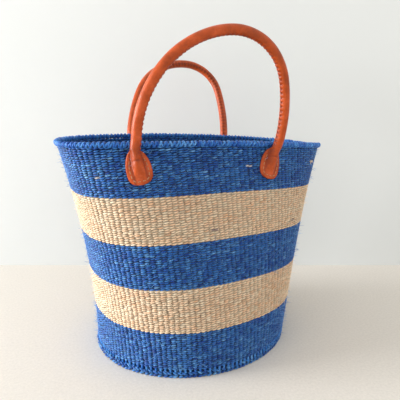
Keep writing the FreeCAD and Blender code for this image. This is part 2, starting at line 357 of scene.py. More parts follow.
def twined_row(strands, place, warps, rng, swing, climb, half_thick, half_high, centre,
               sides=6, steps=4, slant=1.0, spots=(), spread=0.13):
    """Two weft strands twisting round the warps of one closed row. place(share, out, up) gives
    points, the outward direction and the upward direction."""
    samples = warps * steps
    share = np.arange(samples) / samples

    def grain(values):
        """One value for each stitch, changing where the strand is hidden behind the warps."""
        return np.roll(np.repeat(values, steps), -(steps // 2))

    for which in (0, 1):
        phase = math.pi * (np.arange(samples) / steps + which)
        front = np.cos(phase)
        bulge = np.sign(front) * np.abs(front) ** BULGE_POWER
        size = 1.0 + SIZE_SPREAD * grain(rng.normal(size=warps))
        lift = LIFT_SPREAD * grain(rng.normal(size=warps))
        uneven = 1.0 + SWING_SPREAD * grain(rng.normal(size=warps))
        out = centre + swing * bulge * uneven
        up = climb * (np.sin(phase) * slant + lift)
        knots = np.arange(warps + 1) * steps
        stray = rng.normal(size=warps) * SHIFT_SPREAD / warps
        sag = rng.normal(size=warps) * half_high * SAG_SPREAD
        shift = np.interp(np.arange(samples), knots, np.append(stray, stray[0]))
        up = up + np.interp(np.arange(samples), knots, np.append(sag, sag[0]))
        points, outward, upward = place(share + shift, out, up)
        aim = unit(np.roll(points, -1, 0) - np.roll(points, 1, 0))
        outward = unit(outward - aim * np.sum(outward * aim, 1)[:, None])
        side = np.cross(aim, outward)
        side *= np.sign(np.sum(side * upward, 1))[:, None]
        high = half_high * (0.50 + 0.50 * np.abs(front)) * size
        thick = half_thick * size
        ring = tube_points(points, outward, side, thick, high, sides)
        turned = inside_out(outward[0], side[0], aim[0])
        if turned:
            ring = ring[:, ::-1]
        tone = 0.5 + 0.08 * wander(rng, samples, samples / 40.0) \
            + spread * grain(rng.normal(size=warps))
        facing = np.abs(np.cos(np.arange(sides) / sides * TURN))
        if turned:
            facing = facing[::-1]
        # painted shade toward the ends of each stitch, where it dives behind a warp
        gap = 0.45 + 0.55 * np.clip(np.abs(bulge) + 0.25 * grain(rng.normal(size=warps)), 0.0, 1.0)
        # here and there the strands part; beside them the gap is painted fully dark, painted shade
        # between the warps
        parted = grain(rng.random(warps) < PARTED_STITCHES) & (np.abs(front) < 0.5)
        gap = np.where(parted, 0.0, gap)
        # painted shade toward the upper and lower edges of each strand, in the grooves between rows
        depth = gap[:, None] * (0.05 + 0.95 * facing ** 2)
        fleck = np.zeros(samples)
        for spot in spots:
            near = np.abs((share - spot + 0.5) % 1.0 - 0.5) * warps < 0.55
            fleck = np.where(near & (front > -0.2), ODD_COLOUR, fleck)
        strands.add(ring, True, tone=tone, depth=depth,
                    run=np.arange(samples) / steps * STITCH_LENGTH + rng.random() * 3.0,
                    fleck=fleck)


# ---- materials --------------------------------------------------------------------------------
def add_node(tree, kind, settings=None, **links):
    """Adds a shader node, with its settings and what each input is linked to or set to."""
    node = tree.nodes.new(kind)
    for key, value in (settings or {}).items():
        setattr(node, key, value)
    for key, value in links.items():
        socket = node.inputs[int(key[1:])] if key[0] == "_" else node.inputs[key.replace("_", " ")]
        if isinstance(value, bpy.types.NodeSocket):
            tree.links.new(value, socket)
        else:
            socket.default_value = value
    return node


def attribute(tree, name):
    return add_node(tree, "ShaderNodeAttribute", {"attribute_name": name}).outputs["Fac"]


def object_place(tree):
    return add_node(tree, "ShaderNodeTexCoord").outputs["Object"]


def noise(tree, place, scale, detail, roughness=0.5):
    return add_node(tree, "ShaderNodeTexNoise", Vector=place, Scale=scale, Detail=detail,
                    Roughness=roughness)


def roughen(tree, shader, strength, distance, height):
    """Raises the surface by a height texture."""
    bump = add_node(tree, "ShaderNodeBump", Strength=strength, Distance=distance, Height=height)
    tree.links.new(bump.outputs["Normal"], shader.inputs["Normal"])


def settle(shader, **values):
    """Fixes inputs of the shader that stay constant."""
    for key, value in values.items():
        shader.inputs[key.replace("_", " ")].default_value = value


def new_material(name):
    material = bpy.data.materials.new(name)
    material.use_nodes = True
    tree = material.node_tree
    shader = tree.nodes["Principled BSDF"]
    return material, tree, shader


def colour_stops(tree, factor, stops):
    """A colour ramp through the given colours."""
    ramp = add_node(tree, "ShaderNodeValToRGB", Fac=factor)
    band = ramp.color_ramp
    while len(band.elements) < len(stops):
        band.elements.new(0.5)
    for element, (place, colour) in zip(band.elements, stops):
        element.position = place
        element.color = (*colour, 1.0)
    return ramp.outputs["Color"]


def fibre_material(name, deep, plain, pale, glint, stray, sheen_tint, rough, gap_shade, gloss):
    """Sisal: coarse, stiff leaf fibre, hand-spun. It is matt with a silky edge light, and every
    strand carries fibres that took the dye differently."""
    if name in bpy.data.materials:
        return bpy.data.materials[name]
    material, tree, shader = new_material(name)
    tone = attribute(tree, "tone")
    run = attribute(tree, "run")
    depth = attribute(tree, "depth")
    fleck = attribute(tree, "fleck")
    place = object_place(tree)
    # fibres are 0.4 mm across and show for 5 mm or so
    level = add_node(tree, "ShaderNodeSeparateXYZ", Vector=place)
    strand = add_node(tree, "ShaderNodeCombineXYZ", X=run, Y=level.outputs["Z"],
                      Z=level.outputs["X"])
    streaks = add_node(tree, "ShaderNodeMapping", Vector=strand.outputs["Vector"],
                       Scale=(220.0, 2600.0, 700.0))
    fibres = noise(tree, streaks.outputs["Vector"], 1.0, 3.0, 0.6)
    # bundles of fibres 1 mm across catch the dye together
    bundles = add_node(tree, "ShaderNodeMapping", Vector=strand.outputs["Vector"],
                       Scale=(300.0, 1000.0, 260.0))
    bundle = noise(tree, bundles.outputs["Vector"], 1.0, 2.0, 0.6)
    # cloudy dye, about 30 mm across
    clouds = noise(tree, place, 34.0, 3.0)
    mixed = add_node(tree, "ShaderNodeMath", {"operation": "MULTIPLY_ADD"},
                     _0=fibres.outputs["Fac"], _1=0.9, _2=-0.45)
    toned = add_node(tree, "ShaderNodeMath", {"operation": "ADD"}, _0=tone, _1=mixed.outputs[0])
    bundled = add_node(tree, "ShaderNodeMath", {"operation": "MULTIPLY_ADD"},
                       _0=bundle.outputs["Fac"], _1=0.60, _2=-0.30)
    cloud = add_node(tree, "ShaderNodeMath", {"operation": "MULTIPLY_ADD"},
                     _0=clouds.outputs["Fac"], _1=0.3, _2=bundled.outputs[0])
    factor = add_node(tree, "ShaderNodeMath", {"operation": "ADD", "use_clamp": True},
                      _0=toned.outputs[0], _1=cloud.outputs[0])
    base = colour_stops(tree, factor.outputs[0], [(0.08, deep), (0.48, plain), (0.80, pale),
                                           (1.0, glint)])
    marked = add_node(tree, "ShaderNodeMix", {"data_type": "RGBA"}, _0=fleck, _6=base,
                      _7=(*stray, 1.0))
    # painted shade: the depth attribute darkens the colour toward gap_shade where a strand dives
    # between warps, in the grooves between rows and in the parted gaps
    shade = add_node(tree, "ShaderNodeMapRange", Value=depth, _1=0.0, _2=0.95, _3=gap_shade, _4=1.0)
    final = add_node(tree, "ShaderNodeMix", {"data_type": "RGBA", "blend_type": "MULTIPLY"}, _0=1.0,
                     _6=marked.outputs[2], _7=shade.outputs[0])
    tree.links.new(final.outputs[2], shader.inputs["Base Color"])
    roughen(tree, shader, 0.5, 0.0003, fibres.outputs["Fac"])
    settle(shader, Roughness=rough, IOR=1.45, Specular_IOR_Level=gloss, Sheen_Weight=0.30,
           Sheen_Roughness=0.30, Sheen_Tint=(*sheen_tint, 1.0))
    return material


def blue_sisal():
    tint = setting("basket_colours")
    return fibre_material("dyed_sisal_blue", tint.blue_deep, tint.blue, tint.blue_pale,
                          linear("#7DB8EE"), tint.natural_pale, (0.62, 0.78, 1.0), 0.46, 0.13, 0.40)


def natural_sisal():
    tint = setting("basket_colours")
    return fibre_material("undyed_sisal", tint.natural_deep, tint.natural, tint.natural_pale,
                          linear("#FFECD2"), tint.blue_deep, (1.0, 0.95, 0.86), 0.55, 0.26, 0.20)


def tan_leather():
    """Vegetable-tanned cowhide, smooth side out, waxed by hand: warm, slightly uneven colour, soft
    highlights, fine pores and darker creases where it is folded or pinched: partly the leather's
    own darkening, partly painted shade in the seam groove and beside the raised tube."""
    if "vegetable_tanned_leather" in bpy.data.materials:
        return bpy.data.materials["vegetable_tanned_leather"]
    tint = setting("basket_colours")
    material, tree, shader = new_material("vegetable_tanned_leather")
    place = object_place(tree)
    crease = attribute(tree, "crease")
    # hide colour drifts over about 18 mm
    drift = noise(tree, place, 55.0, 6.0, 0.68)
    paler = [min(1.0, c * 1.35 + 0.02) for c in tint.leather]
    darker = [c * 0.56 for c in tint.leather]
    base = colour_stops(tree, drift.outputs["Fac"],
                        [(0.28, darker), (0.50, list(tint.leather)), (0.70, paler)])
    # grain cells 0.7 mm across
    grain = add_node(tree, "ShaderNodeTexVoronoi", {"feature": "DISTANCE_TO_EDGE"}, Vector=place,
                     Scale=1400.0)
    wrinkles = noise(tree, place, 420.0, 5.0, 0.65)
    # wrinkles and the crease attribute darken toward the creased colour: partly the leather's own
    # darkening, partly painted shade in the seam groove and beside the raised tube
    wear_and_shade = add_node(tree, "ShaderNodeMath", {"operation": "MULTIPLY_ADD", "use_clamp": True},
                    _0=wrinkles.outputs["Fac"], _1=0.5, _2=crease)
    crease_and_shade_mix = add_node(tree, "ShaderNodeMapRange", Value=wear_and_shade.outputs[0], _1=0.28, _2=1.1, _3=0.0,
                     _4=1.0)
    final = add_node(tree, "ShaderNodeMix", {"data_type": "RGBA"}, _0=crease_and_shade_mix.outputs[0],
                     _6=base, _7=(*tint.leather_deep, 1.0))
    tree.links.new(final.outputs[2], shader.inputs["Base Color"])
    pores = add_node(tree, "ShaderNodeMapRange", Value=grain.outputs["Distance"], _1=0.0, _2=0.12,
                     _3=0.0, _4=0.5)
    height = add_node(tree, "ShaderNodeMath", {"operation": "ADD"}, _0=pores.outputs[0],
                      _1=wrinkles.outputs["Fac"])
    roughen(tree, shader, 0.35, 0.0003, height.outputs[0])
    gloss = add_node(tree, "ShaderNodeMapRange", Value=wrinkles.outputs["Fac"], _1=0.3, _2=0.7,
                     _3=0.26, _4=0.40)
    tree.links.new(gloss.outputs[0], shader.inputs["Roughness"])
    settle(shader, IOR=1.48, Specular_IOR_Level=0.36)
    return material


def twisted_thread(name, colour, rough):
    """Waxed thread or leather lace: two plies, so a fine diagonal light and dark."""
    if name in bpy.data.materials:
        return bpy.data.materials[name]
    material, tree, shader = new_material(name)
    place = object_place(tree)
    # plies repeat every 0.8 mm
    plies = add_node(tree, "ShaderNodeTexWave", {"bands_direction": "DIAGONAL"}, Vector=place,
                     Scale=400.0, Distortion=1.5, Detail=2.0)
    deep = [c * 0.62 for c in colour]
    base = colour_stops(tree, plies.outputs["Fac"], [(0.1, deep), (0.8, list(colour))])
    tree.links.new(base, shader.inputs["Base Color"])
    roughen(tree, shader, 0.5, 0.0002, plies.outputs["Fac"])
    settle(shader, Roughness=rough)
    return material


# ---- pieces of the basket ---------------------------------------------------------------------
def wall_place(skin, level):
    """Where a row at that level runs, with the small unevenness of hand work."""
    def place(share, out, up):
        ripple = waves["row"](share, level)
        dent = waves["dent"](share, level)
        points, outward = skin.at(level + up + ripple, share + waves["warp"](share, level),
                                  out + dent)
        above, _ = skin.at(level + up + ripple + 0.004, share, out)
        return points, outward, unit(above - points)
    return place


def low_waves():
    """Slow unevenness shared by all rows, so stripes and ribs waver together."""
    rng = np.random.default_rng(11)
    terms = [(int(rng.integers(1, 7)), rng.uniform(0, TURN), rng.uniform(8, 26),
              rng.uniform(0, TURN), rng.normal()) for _ in range(14)]

    def field(scale, seed_turn):
        def value(share, level):
            total = 0.0
            for around, start, climb, tilt, strength in terms:
                total = total + strength * np.sin(TURN * around * share + start + seed_turn
                                                  + climb * level + tilt)
            return scale * total / 4.0
        return value
    drift = field(0.0005, 3.1)

    def warp(share, level):
        # the warps fan out across the front and the rear of the mouth
        fan = 0.0100 * (np.asarray(level) / 0.25) ** 1.5
        return drift(share, level) + fan * np.sin(2.0 * TURN * (share - 0.67))
    return {"row": field(0.0005, 0.0), "dent": field(0.0008, 1.7), "warp": warp}


waves = low_waves()


STRAND_HALF_THICK = 0.00088
ROW_OVERLAP = 0.52          # half height of a strand as a share of the row pitch
WEAVE_SINK = 0.00015        # the weave sits this much deeper than the middle of the wall


def build_band(name, node, low, high, material, seed):
    skin = surface()
    weave = setting("weave_sizes")
    rng = np.random.default_rng(seed)
    rows = max(1, round((high - low) / weave.row_pitch))
    pitch = (high - low) / rows
    strands = Strands()
    pieces = []
    for row in range(rows):
        level = low + pitch * (row + 0.5)
        if row == rows // 2:
            pieces.append(strands.object(name + "_lower"))
            strands = Strands()
        twined_row(strands, wall_place(skin, level), weave.warp_count, rng,
                   weave.strand_swing, weave.strand_climb, STRAND_HALF_THICK, pitch * ROW_OVERLAP,
                   -weave.wall / 2.0 - WEAVE_SINK,
                   spots=[share for height, share in SLUBS if abs(height - level) <= pitch / 2],
                   spread=0.10 if "blue" in name else 0.08)
    pieces.append(strands.object(name + "_upper"))
    for piece in pieces:
        piece.data.materials.append(material)
        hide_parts(node)
        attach(piece, "basket")


STRIPES = (0.0535, 0.1017, 0.1483, 0.1958)
RIM_TUCK = 0.0012           # the last rows run up inside the rim
# height and place round the basket of the few stitches that took the other colour
SLUBS = ((0.2231, 0.7754), (0.2161, 0.5814), (0.1584, 0.7169), (0.1564, 0.8637))


class BASKET_OT_wall(bpy.types.Operator):
    """Twine the striped wall row by row"""
    bl_idname = "basket.wall"
    bl_label = "Striped wall"

    def execute(self, context):
        size, weave = setting("basket_sizes"), setting("weave_sizes")
        edges = (weave.wall_bottom, *STRIPES, size.height - size.rim_height + RIM_TUCK)
        names = ("blue_bottom", "natural_lower", "blue_middle", "natural_upper", "blue_top")
        for i, name in enumerate(names):
            blue = "blue" in name
            build_band("twined_wall_" + name, "wall_band_" + name, edges[i], edges[i + 1],
                       blue_sisal() if blue else natural_sisal(), 20 + i)
        return {"FINISHED"}


class BASKET_OT_warps(bpy.types.Operator):
    """Stand the upright warps that the wall is twined on"""
    bl_idname = "basket.warps"
    bl_label = "Warps"

    def execute(self, context):
        skin, weave, size = surface(), setting("weave_sizes"), setting("basket_sizes")
        rng = np.random.default_rng(5)
        strands = Strands()
        levels = np.concatenate([np.linspace(0.0035, 0.010, 6),
                                 np.linspace(0.0125, size.height - 0.006, 10),
                                 *(np.array([edge - 0.0004, edge + 0.0004]) for edge in STRIPES)])
        levels = np.sort(levels)
        bare = levels < 0.0105
        # each warp is a loose bundle: round where it is bare, spread flat inside the weave
        wide = np.where(bare, 0.00120, 0.0027 + 0.0009 * levels / size.height)
        thick = np.where(bare, 0.00135, 0.00050)
        sunk = np.where(bare, -0.0012, -weave.wall / 2.0 - WEAVE_SINK)
        natural = np.zeros(len(levels))
        for low, high in (STRIPES[0:2], STRIPES[2:4]):
            natural += ((levels > low) & (levels < high)).astype(float)
        for i in range(weave.warp_count):
            share = i / weave.warp_count
            points, outward = skin.at(levels, share + waves["warp"](share, levels),
                                      sunk + waves["dent"](share, levels))
            aim = unit(np.gradient(points, axis=0))
            side = unit(np.cross(aim, outward))
            ring = tube_points(points, unit(outward), side, thick, wide, 6)
            if inside_out(outward[0], side[0], aim[0]):
                ring = ring[:, ::-1]
            # inside the weave the warps take a dark tone and a low depth, painted shade in the gaps
            # between stitches, less dark in the natural stripes; bare warps at the eyelets stay
            # light
            strands.add(ring, False, tone=np.where(bare, 0.58, 0.2) + 0.1 * rng.normal(),
                        depth=np.where(bare, 0.95, 0.12 + 0.33 * natural), run=points[:, 2],
                        fleck=natural)
        piece = strands.object("upright_warps")
        piece.data.materials.append(blue_sisal())
        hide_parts("base_turn_warps")
        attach(piece, "basket")
        return {"FINISHED"}


BASE_INSET = 0.0045         # the base ends inside the border
BASE_ROW = 0.0030
BASE_STITCH = 0.0054
BASE_MIDDLE = 0.00175


# swing, climb, half thickness and place of the strands of the border, then of the base
BORDER_STRAND = (0.0017, 0.0010, 0.00125)
BORDER_OVERLAP, BORDER_CENTRE = 0.90, -0.0021
BASE_STRAND = (0.00095, 0.0007, 0.00078)
BASE_HALF_HIGH = 0.0017


class BASKET_OT_foot(bpy.types.Operator):
    """Braid the border round the foot and twine the flat base"""
    bl_idname = "basket.foot"
    bl_label = "Border and base"

    def execute(self, context):
        self.border()
        self.base()
        return {"FINISHED"}

    def border(self):
        skin, weave = surface(), setting("weave_sizes")
        rng = np.random.default_rng(7)
        strands = Strands()
        half = weave.border_height / 4.0
        for row, slant in ((0, 1.0), (1, -1.0)):
            level = half + row * 2.0 * half

            def place(share, out, up):
                points, outward = skin.at(level + up, share, out)
                return points, outward, np.broadcast_to([0.0, 0.0, 1.0], points.shape)

            twined_row(strands, place, weave.warp_count, rng, *BORDER_STRAND,
                       half * BORDER_OVERLAP, BORDER_CENTRE, sides=6, steps=5, slant=slant,
                           spread=0.12)
        piece = strands.object("braided_border")
        points = np.zeros(len(piece.data.vertices) * 3, np.float32)
        piece.data.vertices.foreach_get("co", points)
        points[2::3] = np.maximum(points[2::3], 0.0)
        piece.data.vertices.foreach_set("co", points)
        piece.data.materials.append(blue_sisal())
        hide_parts("base_border")
        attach(piece, "basket")

    def base(self):
        size = setting("basket_sizes")
        rng = np.random.default_rng(8)
        strands = Strands()
        edge = np.array([size.foot_half_width, size.foot_half_depth]) - BASE_INSET
        rows = int(edge.mean() / BASE_ROW)
        for row in range(rows):
            reach = (row + 0.8) / rows
            around = TURN * edge.mean() * reach
            warps = max(6, 2 * round(around / BASE_STITCH / 2.0))

            def place(share, out, up):
                angle = share * TURN + row * 0.37
                ring = reach + up / edge.mean()
                points = np.stack([edge[0] * ring * np.cos(angle), edge[1] * ring * np.sin(angle),
                                   BASE_MIDDLE - out], 1)
                inward = np.stack([np.cos(angle), np.sin(angle), 0 * angle], 1)
                return points, np.broadcast_to([0.0, 0.0, -1.0], points.shape), inward

            twined_row(strands, place, warps, rng, *BASE_STRAND, BASE_HALF_HIGH, 0.0, sides=4)
        hub = np.linspace(-0.0012, 0.0012, 3) + BASE_MIDDLE
        centre = np.stack([hub * 0, hub * 0, hub], 1)
        strands.add(tube_points(centre, np.tile([1.0, 0, 0], (3, 1)), np.tile([0, 1.0, 0], (3, 1)),
                                np.full(3, 0.003), np.full(3, 0.003), 8), False,
                    tone=np.full(3, 0.4), depth=np.full(3, 0.5), run=hub, fleck=hub * 0)
        piece = strands.object("twined_base")
        piece.data.materials.append(blue_sisal())
        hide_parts("base_disc")
        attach(piece, "basket")


RIM_WRAPS = 2.5             # turns of yarn for each warp
RIM_LEAN, RIM_LEAN_SPREAD, RIM_LEAN_BIAS = 0.0011, 0.0005, 0.0005
RIM_SHIFT = 0.0002
RIM_INNER_PROUD = 0.0005    # how far the rim stands out of the inner face
RIM_LUMPS, RIM_LEVEL_LUMPS = 0.06, 0.10
RIM_YARN_HALF_THICK, RIM_YARN_HALF_WIDE, RIM_YARN_SPREAD = 0.00118, 0.00122, 0.12
RIM_YARN_COVER = 0.0011     # yarn over the cord


class BASKET_OT_rim(bpy.types.Operator):
    """Wrap the rolled rim over its cord"""
    bl_idname = "basket.rim"
    bl_label = "Rolled rim"

    def execute(self, context):
        skin, size, weave = surface(), setting("basket_sizes"), setting("weave_sizes")
        rng = np.random.default_rng(9)
        wraps = int(weave.warp_count * RIM_WRAPS)
        steps = 12
        samples = wraps * steps
        turn = np.arange(samples) / steps * TURN
        wrap = ((np.arange(samples) + steps // 2) // steps) % wraps
        each = rng.normal(size=wraps)[wrap]
        # wraps lean to and fro in turn, so the outside of the rim reads as a zigzag
        tilt = RIM_LEAN + RIM_LEAN_SPREAD * rng.normal(size=wraps)[wrap]
        lean = np.where(wrap % 2 == 0, 1.0, -1.0) * tilt + RIM_LEAN_BIAS
        share = np.arange(samples) / samples + lean * np.sin(turn) + RIM_SHIFT * each
        middle = size.height - size.rim_height / 2.0
        half_wide = (size.rim_proud + weave.wall + RIM_INNER_PROUD) / 2.0
        centre = size.rim_proud - half_wide
        lumpy = 1.0 + RIM_LUMPS * each
        thick = RIM_YARN_HALF_THICK
        out = centre + (half_wide - thick) * np.cos(turn) * lumpy
        level = middle + (size.rim_height / 2.0 - thick) * np.sin(turn) \
            * (1.0 + RIM_LEVEL_LUMPS * each)
        hub, _ = skin.at(np.full(samples, middle), share, centre)
        points, _ = skin.at(np.minimum(level, size.height), share, out)
        points[:, 2] += np.maximum(level - size.height, 0.0)
        aim = unit(np.roll(points, -1, 0) - np.roll(points, 1, 0))
        away = unit(points - hub)
        away = unit(away - aim * np.sum(away * aim, 1)[:, None])
        side = np.cross(aim, away)
        ring = tube_points(points, away, side, np.full(samples, thick),
                           RIM_YARN_HALF_WIDE * (1.0 + RIM_YARN_SPREAD * each), 6, math.pi / 6)
        facing = np.cos(math.pi / 6 + np.arange(6) / 6 * TURN)
        if inside_out(away[0], side[0], aim[0]):
            ring, facing = ring[:, ::-1], facing[::-1]
        strands = Strands()
        tone = 0.50 + 0.10 * rng.normal(size=wraps)[wrap] \
            + 0.06 * wander(rng, samples, wraps / 6.0)
        # depth darkens the sides and inner face of each wrap, painted shade in the grooves between
        # wraps
        strands.add(ring, True, tone=tone, depth=0.45 + 0.55 * facing + np.zeros((samples, 1)),
                    run=np.arange(samples) / steps * 0.02,
                    fleck=turn * 0)
        # the cord inside closes the gaps between wraps; its low tone and depth paint it dark,
        # painted shade in those gaps
        core_samples = 400
        around = np.arange(core_samples) / core_samples
        core, core_out = skin.at(np.full(core_samples, middle), around, centre)
        core_aim = unit(np.roll(core, -1, 0) - np.roll(core, 1, 0))
        core_side = np.cross(core_aim, core_out)
        core_ring = tube_points(core, core_out, core_side,
                                np.full(core_samples, half_wide - RIM_YARN_COVER),
                                np.full(core_samples, size.rim_height / 2.0 - RIM_YARN_COVER), 10)
        if inside_out(core_out[0], core_side[0], core_aim[0]):
            core_ring = core_ring[:, ::-1]
        strands.add(core_ring, True, tone=around * 0 + 0.25, depth=around * 0 + 0.3,
                    run=around, fleck=around * 0)
        piece = strands.object("rolled_rim")
        piece.data.materials.append(blue_sisal())
        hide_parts("rim_wrap", "rim_core")
        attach(piece, "basket")
        return {"FINISHED"}


# ---- handles ----------------------------------------------------------------------------------
HANDLES = {
    "front": {"side": -1, "feet": (-0.0987, 0.0665), "lean": 10.0, "start": -3.6, "seam": 4.0,
              "stops": ((0.0176, 0.0674), (0.0889, 0.1124), (0.1599, 0.0671))},
    "rear": {"side": 1, "feet": (-0.0442, 0.0953), "lean": 25.0, "start": 9.5, "seam": -62.0,
             "stops": ((0.0208, 0.0644), (0.0973, 0.1105), (0.1422, 0.0699))},
}
RIM_GAP = 0.0005
HINGE_RISE = 0.0015
RIM_CORNER = 0.0017
TAB_DROP = 0.0015
SPLAY = (-6.0, 19.0)
ARCH_START = 0.006 * 0.3    # height above the flex line where the arch takes over
ARCH_SPACING = 0.0012
TAB_LIFT = 0.0012           # how far the tube has left the wall at the top of a tab
TUBE_SIDES = 64
# half angle and strength, as a share of the tube, of the seam's line, pinches and raised lips
SEAM_LINE, SEAM_PINCH, SEAM_LIP = (0.12, 0.09), (0.50, 0.10), (0.48, 0.13)
TAB_STITCH, LACE_STITCH = (0.0033, 0.0010, 0.0009), (0.0034, 0.0009, 0.0008)
STITCH_INSET, STITCH_START = 0.0040, 0.008
LACE_COLOUR = 0.62          # the lace is darker than the leather


def arc_points(start_slant, stops, spacing):
    """Points of a chain of tangent arcs through the stops, in the plane of the handle."""
    here = np.zeros(2)
    aim = np.array([math.sin(start_slant), math.cos(start_slant)])
    line = []
    for stop in stops:
        there = np.array(stop)
        chord = there - here
        square = np.array([-aim[1], aim[0]])
        radius = chord @ chord / (2.0 * (chord @ square))
        centre = here + square * radius
        swing = 2.0 * math.asin(max(-1.0, min(1.0, np.linalg.norm(chord) / (2.0 * abs(radius)))))
        swing *= 1.0 if radius > 0 else -1.0
        count = max(3, int(abs(radius * swing) / spacing))
        for i in range(count):
            a = swing * i / count
            spoke = here - centre
            line.append(centre + np.array([spoke[0] * math.cos(a) - spoke[1] * math.sin(a),
                                           spoke[0] * math.sin(a) + spoke[1] * math.cos(a)]))
        aim = np.array([aim[0] * math.cos(swing) - aim[1] * math.sin(swing),
                        aim[0] * math.sin(swing) + aim[1] * math.cos(swing)])
        here = there
    line.append(here)
    return np.array(line)


class Handle:
    """One handle: where its feet, tabs and arch are, and the line its leather follows."""

    def __init__(self, which):
        spec = HANDLES[which]
        skin, size, grip = surface(), setting("basket_sizes"), setting("handle_sizes")
        self.side = spec["side"]
        self.seam = math.radians(spec["seam"])
        stand_off = size.rim_proud + RIM_GAP + grip.tube_radius
        rim_low = size.height - size.rim_height + RIM_CORNER
        joint = next(j for j in frame["joints"] if j["name"] == f"handle_{which}_swing")
        left = np.array(joint["pos_m"], float)
        axis = np.array(joint["axis"], float) * (-self.side)
        feet = []
        for x in spec["feet"]:
            share = skin.share_at(x, rim_low, self.side, stand_off)
            point, _ = skin.at(rim_low, share, stand_off)
            top, _ = skin.at(size.height, share, stand_off)
            feet.append(np.array([point[0], point[1], top[2] + HINGE_RISE]))
        width = (feet[1] - feet[0]) @ axis
        self.left, self.axis, self.width = left, axis, width
        self.right = left + axis * width
        level = np.cross([0, 0, 1.0], axis)
        level /= np.linalg.norm(level)
        self.up = np.cross(axis, level)
        lean = math.radians(spec["lean"]) * -self.side
        self.rise = self.up * math.cos(lean) - level * math.sin(lean)
        self.face = np.cross(axis, self.rise) * -self.side
        stops = (*spec["stops"], (width, 0.0))
        flat = arc_points(math.radians(spec["start"]), stops, ARCH_SPACING)
        arch = left + flat[:, :1] * axis + flat[:, 1:] * self.rise
        first = self.tab_line(skin, size, grip, left, SPLAY[0])
        second = self.tab_line(skin, size, grip, self.right, SPLAY[1])
        self.tabs = (first, second)
        keep = flat[:, 1] > ARCH_START
        arch = arch[keep]
        line = np.concatenate([first["line"], arch, second["line"][::-1]])
        outs = np.concatenate([first["outs"], np.tile(self.face, (len(arch), 1)),
                               second["outs"][::-1]])
        depth = np.concatenate([first["depth"], np.full(len(arch), -1.0),
                                second["depth"][::-1]])
        self.line, self.outs, self.depth = self.even(line, outs, depth)

    def tab_line(self, skin, size, grip, foot, splay):
        """The tab on the wall below a foot, from its bottom edge up to the flex line."""
        top = size.height - size.rim_height - TAB_DROP
        middle = top - grip.tab_length / 2.0
        slide = math.tan(math.radians(splay)) * (size.height + HINGE_RISE - middle)
        share = skin.share_at(foot[0] - slide, middle, self.side, 0.0)
        anchor, level = skin.at(middle, share, 0.0)
        high, _ = skin.at(top, share, 0.0)
        low, _ = skin.at(top - grip.tab_length, share, 0.0)
        rise = (high - low) / np.linalg.norm(high - low)
        across = np.cross(rise, level)
        across /= np.linalg.norm(across)
        if across[0] < 0:
            across = -across
        out = np.cross(across, rise)
        out /= np.linalg.norm(out)
        if out @ level < 0:
            out = -out
        lean = math.radians(splay)
        up = rise * math.cos(lean) + across * math.sin(lean)
        over = across * math.cos(lean) - rise * math.sin(lean)
        start = anchor + up * grip.tab_length / 2.0
        count = 60
        depth = grip.tab_length * (1.0 - (np.arange(count) / count) ** 1.15)
        line = start - up * depth[:, None]
        # the tube climbs off the wall to pass outside the rim
        bend = np.clip(1.0 - depth / 0.010, 0.0, 1.0) ** 2
        line = line + out * (bend * TAB_LIFT)[:, None]
        steps = np.linspace(0.0, 1.0, 12)[1:-1]
        begin = start + out * TAB_LIFT + out * grip.tube_radius
        blend = steps[:, None]
        tube = begin + (foot - begin) * blend
        turning = unit(out * (1 - blend) + self.face * blend)
        outs = np.concatenate([np.tile(out, (count, 1)), turning])
        line = np.concatenate([line + out * grip.tube_radius, tube])
        depth = np.concatenate([depth, -0.0005 - 0.008 * steps])
        return {"line": line, "outs": outs, "depth": depth, "start": start, "up": up,
                "over": over, "out": out}

    @staticmethod
    def even(line, outs, depth):
        """Even spacing along the leather, with the kinks at the necks rounded."""
        run = running(line)
        even = np.linspace(0.0, run[-1], int(run[-1] / 0.0009))
        pick = lambda table: np.stack([np.interp(even, run, table[:, k]) for k in range(3)], 1)
        line, outs = pick(line), pick(outs)
        depth = np.interp(even, run, depth)
        weights = np.exp(-np.linspace(-2, 2, 15) ** 2)
        weights /= weights.sum()
        free = depth < 0.010

        def smooth(table):
            first, last = np.repeat(table[:1], 7, 0), np.repeat(table[-1:], 7, 0)
            padded = np.concatenate([first, table, last])
            done = np.stack([np.convolve(padded[:, k], weights, "valid") for k in range(3)], 1)
            return np.where(free[:, None], done, table)

        for _ in range(3):
            line = smooth(line)
            outs = smooth(outs)
        return line, unit(outs), depth

    def frames(self):
        aim = unit(np.gradient(self.line, axis=0))
        out = unit(self.outs - aim * np.sum(self.outs * aim, 1)[:, None])
        inner = np.cross(aim, out) * -self.side
        return aim, inner, out


def tab_half_width(depth, grip):
    """Half the width of the tab at a depth below its top: narrow neck, wide rounded tongue."""
    full = grip.tab_width / 2.0
    widest = grip.tab_length * 0.56
    top = np.clip(depth / widest, 0.0, 1.0)
    half = grip.tube_radius + (full - grip.tube_radius) * np.sin(math.pi / 2.0 * top ** 0.75)
    low = np.clip((depth - widest) / (grip.tab_length - widest), 0.0, 1.0)
    return half * np.maximum(1.0 - low ** 3.2, 0.0) ** (1.0 / 2.2)


def handle(which):
    key = "handle_" + which
    if key not in made:
        made[key] = Handle(which)
    return made[key]


def ease(low, high, value):
    t = np.clip((value - low) / (high - low), 0.0, 1.0)
    return t * t * (3.0 - 2.0 * t)


